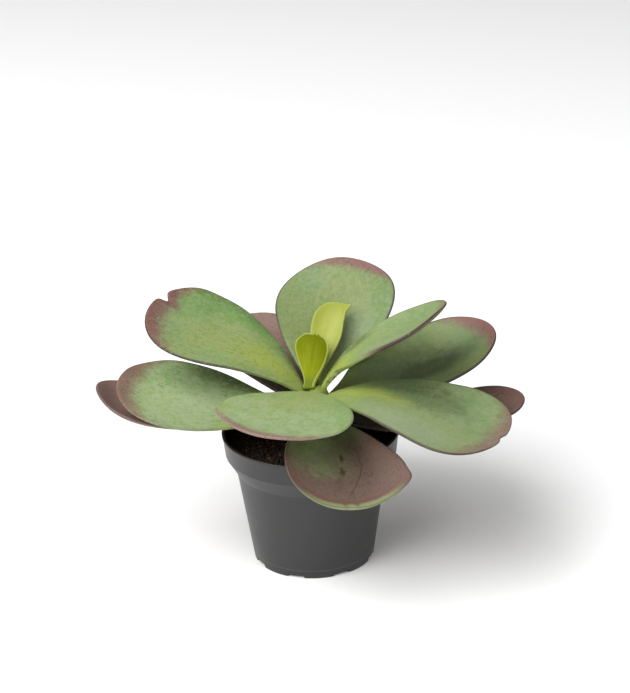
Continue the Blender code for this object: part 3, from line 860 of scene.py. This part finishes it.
def young_finish(name, tones):
    """Bright yellow-green skin with a pale rim, banded with pale or a deeper green. The pale rim and band
    are partly painted highlight, and the darker green low on the blade and in the front leaf's hood is
    painted shade, partly olive colour in the hood.
    """
    skin = Finish(f"{name}_finish", tones, "young")
    at = leaf_fields(skin)
    at.cloud = skin.noise(skin.place(), 160.0, detail=3.0, roughness=0.55)
    at.lines = skin.streaks(at, fine_along=2.0, fine_across=9.0)
    skin.paint("young_pale", (at.lines, 0.4, 0.65), 0.15)
    if name == "leaf_young_back":
        pale_band_and_highlight(skin, at)
    else:
        shaded_hood(skin, at)
    streak = skin.sum(at.lines, skin.swing(at.cloud, 0.15))
    skin.paint("young_deep", (streak, 0.52, 0.34), 0.08 if name == "leaf_young_back" else 0.25)
    # painted shade low on the young leaves, where the leaves round them shade them
    skin.paint("young_stalk", (at.along, 0.34, 0.08), 0.75)
    # pale rim: partly a pale margin, partly a painted highlight where the rim catches the light
    skin.paint("young_pale", (at.rim, 1.3, 0.3), 0.75)
    relief = skin.sum(skin.times(at.cloud, 0.4), skin.times(at.lines, 0.6))
    return skin.finished(roughness=0.65, gloss=0.05, relief=relief, depth=SKIN_RELIEF)


def pale_band_and_highlight(skin, at):
    """A paler skin with a broad pale band along the blade: partly pale colour, partly a painted highlight
    along its ridge.
    """
    off_band = skin.math("ABSOLUTE", skin.sum(at.side, 0.25, skin.swing(at.cloud, 0.4)))
    band = skin.times((off_band, 1.0, 0.0), (at.along, 0.15, 0.5), (at.along, 1.0, 0.75))
    skin.paint("young_pale", 0.5)
    skin.paint("young_pale", band, 0.95)


def shaded_hood(skin, at):
    """A deeper green inside the hood, on its midrib and under its rim: partly the leaf's olive colour,
    partly painted shade of the hollow, the fold and the rim.
    """
    inside = skin.ease(at.upper, -0.1, 0.3)
    outward = skin.sum(at.along, skin.times(at.side, -0.35), skin.swing(at.cloud, 0.3))
    rim_shadow = skin.times((at.rim, 3.0, 1.6), (at.along, 0.75, 0.95))
    skin.paint("young_deep", (outward, 0.25, 0.95), inside, 0.70)
    skin.paint("young_deep", (skin.off(at.side, 0.1), 0.12, 0.0), inside, 0.30)
    # painted shadow under the rim
    skin.paint("young_deep", rim_shadow, inside, 0.5)


def stem_finish(tones):
    """Green at the crown, browner towards the soil."""
    skin = Finish("stem_finish", tones, "fresh")
    cloud = skin.noise(skin.place(), 180.0, detail=4.0, roughness=0.6)
    skin.paint("bark", (skin.sum(skin.height(), skin.swing(cloud, 0.012)), 0.124, 0.096))
    return skin.finished(roughness=0.6, gloss=0.3, relief=cloud, depth=0.4 * MM)


def soil_finish(tones):
    """Damp dark peat with drier, browner crumbs."""
    soil = Finish("soil_finish", tones, "dark")
    grain = soil.noise(soil.place(), 700.0, detail=4.0, roughness=0.7)
    soil.paint("brown", (soil.sum(soil.attribute("shade"), soil.swing(grain, 0.35)), 0.45, 1.0))
    roughness = soil.math("MULTIPLY_ADD", grain, 0.2, 0.75)
    return soil.finished(roughness, gloss=0.2, relief=grain, depth=0.6 * MM)


def pot_finish(tones):
    """Dark satin plastic with fine moulding grain, faint rings and pale scuffs."""
    plastic = Finish("pot_finish", tones, "plastic")
    place = plastic.place()
    rings = plastic.noise(plastic.vector_math("MULTIPLY", place, (6.0, 6.0, 900.0)), 1.0)
    cloud = plastic.noise(place, 45.0, detail=4.0, roughness=0.6)
    grain = plastic.noise(place, 2400.0)
    rubbed = plastic.noise(place, 260.0, detail=5.0, roughness=0.7)
    plastic.paint("scuff", (rubbed, 0.60, 0.75), (cloud, 0.50, 0.65), 0.30)
    off_ring = plastic.off(plastic.height(), RING_LINE_HEIGHT)
    plastic.paint("scuff", (off_ring, 0.6 * MM, 0.2 * MM), 0.25)
    roughness = plastic.sum(plastic.times(cloud, 0.16), plastic.times(rings, 0.06), 0.28)
    relief = plastic.sum(plastic.times(grain, 0.3), plastic.times(rings, 0.15))
    return plastic.finished(roughness, gloss=0.6, relief=relief, depth=0.06 * MM)


def pot_outline(wall):
    """The wall's outline, from the floor's middle up the inside, over the rim and down to the foot."""
    collar, collar_foot = COLLAR_FOOT
    shoulder, shoulder_foot = SHOULDER_FOOT
    foot_slope = (shoulder - FOOT_RADIUS) / shoulder_foot
    corner = FOOT_RADIUS + (shoulder - FOOT_RADIUS) * FLOOR_TOP / shoulder_foot
    under_bead = RIM_RADIUS - BEAD_OUT
    foot_inner = FOOT_RADIUS - FOOT_RING_WIDTH
    return [
        (0.0, FLOOR_TOP),
        (corner - wall, FLOOR_TOP),
        (shoulder - wall, shoulder_foot),
        (collar - wall, collar_foot),
        (under_bead - wall, POT_TOP),
        (RIM_RADIUS, POT_TOP),
        (RIM_RADIUS, POT_TOP - BEAD_HEIGHT),
        (under_bead, POT_TOP - BEAD_HEIGHT - BEAD_SLOPE),
        (collar, collar_foot),
        (shoulder, shoulder_foot),
        (FOOT_RADIUS + foot_slope * NOTCH_TOP, NOTCH_TOP),
        (FOOT_RADIUS, 0.0),
        (foot_inner, 0.0),
        (foot_inner, FLOOR_UNDERSIDE),
        (0.0, FLOOR_UNDERSIDE),
    ]


def cut_notches(bm):
    """Lifts the foot ring's underside at each notch, with rounded ends."""
    for vertex in bm.verts:
        radius = math.hypot(vertex.co.x, vertex.co.y)
        if vertex.co.z > FLOOR_UNDERSIDE / 2 or radius < FOOT_RADIUS - FOOT_RING_WIDTH - NEARBY:
            continue
        turn = math.degrees(math.atan2(vertex.co.y, vertex.co.x))
        half = NOTCH_SPACING / 2
        off = abs((turn - FIRST_NOTCH + half) % NOTCH_SPACING - half)
        share = min(max((NOTCH_HALF_TURN - off) / NOTCH_END_TURN, 0.0), 1.0)
        vertex.co.z += NOTCH_LIFT * math.sin(share * math.pi / 2)


def add_drains(bm):
    """Round posts that stand where the drain holes go."""
    for notch in range(NOTCHES):
        turn = math.radians(FIRST_NOTCH + notch * NOTCH_SPACING)
        place = (DRAIN_RING_RADIUS * math.cos(turn), DRAIN_RING_RADIUS * math.sin(turn), FLOOR_TOP / 2)
        bmesh.ops.create_cone(
            bm, cap_ends=True, segments=DRAIN_STEPS, radius1=DRAIN_RADIUS, radius2=DRAIN_RADIUS,
            depth=4 * FLOOR_TOP, matrix=Matrix.Translation(place),
        )


def cut_drains(bm):
    """The same mesh with the drain holes through its floor."""
    whole_pot = mesh_object("whole_pot", bm)
    posts = bmesh.new()
    add_drains(posts)
    cutter = mesh_object("drain_posts", posts)
    cut = whole_pot.modifiers.new("drains", "BOOLEAN")
    cut.operation = "DIFFERENCE"
    cut.solver = "EXACT"
    cut.object = cutter
    result = bmesh.new()
    result.from_object(whole_pot, bpy.context.evaluated_depsgraph_get())
    for helper in (whole_pot, cutter):
        bpy.data.objects.remove(helper)
    return result


def make_pot(settings):
    bm = turned(pot_outline(settings.wall), steps=POT_STEPS, rounding=ROUNDED_EDGE)
    cut_notches(bm)
    bm = cut_drains(bm)
    finished_piece("pot_shell", bm, pot_finish(settings), "pot", sharp=SHARP_EDGE)


def make_stem(settings):
    outline = [(0.0, STEM_TOP)]
    radii, heights = zip(*reversed(STEM_RADII))
    for height in np.linspace(heights[-1], STEM_FOOT, STEM_RINGS):
        radius = float(np.interp(height, heights, radii))
        ridge = settings.ridge * math.sin(height / RIDGE_SPACING * math.tau)
        outline.append(
            (radius + (ridge if radius > RIDGED_RADIUS else 0.0) - settings.ridge, float(height))
        )
    outline.append((0.0, STEM_FOOT))
    bm = turned(outline, steps=STEM_STEPS, at_x=STEM_X)
    finished_piece("stem_skin", bm, stem_finish(settings), "stem")


def soil_height(x, y):
    """Height of the heap, with lumps of two sizes."""
    share = math.hypot(x, y) / RIM_RADIUS
    lumps = sum(
        noise.noise(Vector((x, y, level)) * fineness) * height for level, fineness, height in SOIL_LUMPS
    )
    return SOIL_EDGE_HEIGHT + SOIL_MOUND * (1.0 - share**2) + lumps * MM


def soil_radius():
    collar, collar_foot = COLLAR_FOOT
    slope = (RIM_RADIUS - BEAD_OUT - collar) / (POT_TOP - collar_foot)
    return collar - WALL - GAP + slope * (SOIL_EDGE_HEIGHT - collar_foot)


def make_soil(settings):
    """A plug with a lumpy top, strewn with crumbs and fibres."""
    edge = soil_radius()
    inset = WALL + 2 * GAP
    outline = [(float(edge * share), SOIL_EDGE_HEIGHT) for share in np.linspace(0.0, 1.0, SOIL_RINGS)]
    outline += [(radius - inset, height) for radius, height in (COLLAR_FOOT, SHOULDER_FOOT)]
    outline += [(FOOT_RADIUS - inset, FLOOR_TOP + GAP), (0.0, FLOOR_TOP + GAP)]
    bm = turned(outline, steps=SOIL_STEPS)
    shade_layer = bm.verts.layers.float.new("shade")
    for vertex in bm.verts:
        vertex[shade_layer] = SOIL_SHADE
        if vertex.co.z > SOIL_EDGE_HEIGHT - NEARBY:
            vertex.co.z = soil_height(vertex.co.x, vertex.co.y)
    draw = random.Random(SOIL_SEED)
    strew(bm, settings.crumbs, lambda heap, layer: add_crumb(heap, draw, settings.crumb_size, edge, layer))
    strew(bm, settings.fibres, lambda heap, layer: add_fibre(heap, draw, edge, layer))
    finished_piece("soil_crumbs", bm, soil_finish(settings), "soil")


def strew(bm, count, add_one):
    """Adds many small shapes in batches, because an operator slows down as its mesh grows."""
    batch_mesh = bpy.data.meshes.new("batch")
    for start in range(0, count, BATCH):
        batch = bmesh.new()
        layer = batch.verts.layers.float.new("shade")
        for _ in range(min(BATCH, count - start)):
            add_one(batch, layer)
        batch.to_mesh(batch_mesh)
        batch.free()
        bm.from_mesh(batch_mesh)
    bpy.data.meshes.remove(batch_mesh)


def strewn_place(draw, edge):
    radius = edge * math.sqrt(draw.random()) * STREWN_SHARE
    turn = draw.uniform(0, math.tau)
    return radius * math.cos(turn), radius * math.sin(turn)


def add_crumb(bm, draw, size, edge, shade_layer):
    """A small jagged lump, half sunk in the heap."""
    radius = size * draw.uniform(*CRUMB_SHARES)
    x, y = strewn_place(draw, edge - radius)
    turn = Matrix.Rotation(draw.uniform(0, math.tau), 4, Vector((draw.random(), draw.random(), 0.5)))
    place = Matrix.Translation((x, y, soil_height(x, y) + radius * CRUMB_LIFT)) @ turn
    made = bmesh.ops.create_icosphere(bm, subdivisions=1, radius=radius, matrix=place)
    shade = draw.random() ** 2
    for vertex in made["verts"]:
        vertex.co += Vector([draw.uniform(-CRUMB_DENT, CRUMB_DENT) * radius for _ in range(3)])
        vertex[shade_layer] = shade


def add_fibre(bm, draw, edge, shade_layer):
    """A thin bent thread of three sides that lies on the crumbs."""
    x, y = strewn_place(draw, edge - FIBRE_REACH)
    turn = draw.uniform(0, math.tau)
    bend = draw.uniform(-FIBRE_BEND, FIBRE_BEND)
    thick = draw.uniform(*FIBRE_RADII) * MM
    step = draw.uniform(*FIBRE_STEPS) * MM
    place = Matrix.Translation((x, y, 0.0)) @ Matrix.Rotation(turn, 4, "Z")
    made = bmesh.ops.create_cone(
        bm, cap_ends=True, segments=3, radius1=thick, radius2=thick, depth=step,
        matrix=place @ Matrix.Rotation(math.pi / 2, 4, "Y"),
    )
    verts = made["verts"]
    middle = Vector((x, y, 0.0))
    ahead = Vector((math.cos(turn), math.sin(turn), 0.0))
    head = [vertex for vertex in verts if (vertex.co - middle).dot(ahead) > 0]
    face = next(face for face in head[0].link_faces if all(vertex in head for vertex in face.verts))
    for _ in range(FIBRE_PARTS):
        turn += bend
        face = bmesh.ops.extrude_discrete_faces(bm, faces=[face])["faces"][0]
        bmesh.ops.translate(bm, verts=face.verts, vec=(math.cos(turn) * step, math.sin(turn) * step, 0.0))
        verts += list(face.verts)
    shade = draw.uniform(*FIBRE_SHADES)
    for vertex in set(verts):
        vertex.co.z += soil_height(vertex.co.x, vertex.co.y) + FIBRE_LIFT
        vertex[shade_layer] = shade


def area_light(name, place, size, power):
    light = bpy.data.lights.new(name, "AREA")
    light.shape = "DISK"
    light.size = size
    light.energy = power
    lamp = add_object(name, light)
    lamp.location = place
    lamp.rotation_euler = (LIGHT_AIM - lamp.location).to_track_quat("-Z", "Y").to_euler()


def place_camera(stage):
    lens = bpy.data.cameras.new("camera")
    lens.sensor_width = SENSOR
    lens.lens = stage.lens
    lens.dof.use_dof = False
    camera = add_object("camera", lens)
    back = Vector((0.0, -math.cos(stage.elevation), math.sin(stage.elevation)))
    spot = ORBIT_CENTRE + back * stage.distance
    ahead = (LOOK_AT - spot).normalized()
    level = ahead.cross(Vector((0, 0, 1))).normalized()
    up = level.cross(ahead)
    right = level * math.cos(stage.roll) + up * math.sin(stage.roll)
    top = up * math.cos(stage.roll) - level * math.sin(stage.roll)
    turn = Matrix((right, top, -ahead)).transposed()
    camera.matrix_world = Matrix.Translation(spot) @ turn.to_4x4()
    bpy.context.scene.camera = camera


def place_floor(stage):
    bm = bmesh.new()
    bmesh.ops.create_grid(bm, x_segments=1, y_segments=1, size=FLOOR_HALF)
    floor = mesh_object("floor", bm)
    matt = Finish("floor_finish", stage, "floor").finished(roughness=0.9, gloss=0.1)
    floor.data.materials.append(matt)


def surround(strength):
    world = bpy.data.worlds.new("surround")
    world.use_nodes = True
    sky = world.node_tree.nodes["Background"]
    sky.inputs["Color"].default_value = (1.0, 1.0, 1.0, 1.0)
    sky.inputs["Strength"].default_value = strength
    return world


def grow_all(names, context, finish):
    settings = context.scene.potted_agave.leaves
    for name in names:
        grow_leaf(name, settings, finish(name, settings))


class AGAVE_OT_grown_leaves(bpy.types.Operator):
    """Grows the broad green leaves"""

    bl_idname = "agave.grown_leaves"
    bl_label = "Grown Leaves"

    def execute(self, context):
        grow_all(GROWN_LEAVES, context, leaf_finish)
        return {"FINISHED"}


class AGAVE_OT_old_leaves(bpy.types.Operator):
    """Grows the low, brown-mauve leaves"""

    bl_idname = "agave.old_leaves"
    bl_label = "Old Leaves"

    def execute(self, context):
        grow_all(OLD_LEAVES, context, leaf_finish)
        return {"FINISHED"}


class AGAVE_OT_young_leaves(bpy.types.Operator):
    """Grows the two young leaves at the crown"""

    bl_idname = "agave.young_leaves"
    bl_label = "Young Leaves"

    def execute(self, context):
        grow_all(YOUNG_LEAVES, context, young_finish)
        return {"FINISHED"}


class AGAVE_OT_stem(bpy.types.Operator):
    """Turns the stem with its ridges"""

    bl_idname = "agave.stem"
    bl_label = "Stem"

    def execute(self, context):
        make_stem(context.scene.potted_agave.stem)
        return {"FINISHED"}


class AGAVE_OT_soil(bpy.types.Operator):
    """Fills the pot with crumbly soil"""

    bl_idname = "agave.soil"
    bl_label = "Soil"

    def execute(self, context):
        make_soil(context.scene.potted_agave.soil)
        return {"FINISHED"}


class AGAVE_OT_pot(bpy.types.Operator):
    """Turns the nursery pot"""

    bl_idname = "agave.pot"
    bl_label = "Pot"

    def execute(self, context):
        make_pot(context.scene.potted_agave.pot)
        return {"FINISHED"}


class AGAVE_OT_stage(bpy.types.Operator):
    """Sets the floor, the lights and the camera"""

    bl_idname = "agave.stage"
    bl_label = "Stage"

    def execute(self, context):
        stage = context.scene.potted_agave.stage
        place_floor(stage)
        context.scene.world = surround(stage.sky)
        for name, place, size in LIGHTS:
            area_light(name, place, size, getattr(stage, name))
        place_camera(stage)
        context.scene.view_settings.view_transform = "Standard"
        return {"FINISHED"}


class AGAVE_PT_panel(bpy.types.Panel):
    """Lists the pieces of the potted agave and their settings"""

    bl_idname = "AGAVE_PT_panel"
    bl_label = "Potted Agave"
    bl_space_type = "VIEW_3D"
    bl_region_type = "UI"
    bl_category = "Potted Agave"

    def draw(self, context):
        groups = context.scene.potted_agave
        for group, operators in PANEL_ROWS:
            box = self.layout.box()
            for operator in operators:
                box.operator(operator.bl_idname)
            for key in getattr(groups, group).bl_rna.properties.keys():
                if key not in ("rna_type", "name"):
                    box.prop(getattr(groups, group), key)


PANEL_ROWS = (
    ("pot", (AGAVE_OT_pot,)),
    ("soil", (AGAVE_OT_soil,)),
    ("stem", (AGAVE_OT_stem,)),
    ("leaves", (AGAVE_OT_grown_leaves, AGAVE_OT_old_leaves, AGAVE_OT_young_leaves)),
    ("stage", (AGAVE_OT_stage,)),
)
CLASSES = (
    AgaveLeafSettings, AgaveStemSettings, AgaveSoilSettings, AgavePotSettings, AgaveStageSettings,
    AgaveSettings, *(operator for _, operators in PANEL_ROWS for operator in operators), AGAVE_PT_panel,
)


def register():
    for item in CLASSES:
        bpy.utils.register_class(item)
    bpy.types.Scene.potted_agave = PointerProperty(type=AgaveSettings)


def unregister():
    del bpy.types.Scene.potted_agave
    for item in reversed(CLASSES):
        bpy.utils.unregister_class(item)


def main():
    register()
    bpy.ops.agave.pot()
    bpy.ops.agave.soil()
    bpy.ops.agave.stem()
    bpy.ops.agave.grown_leaves()
    bpy.ops.agave.old_leaves()
    bpy.ops.agave.young_leaves()
    bpy.ops.agave.stage()


if __name__ == "__main__":
    main()
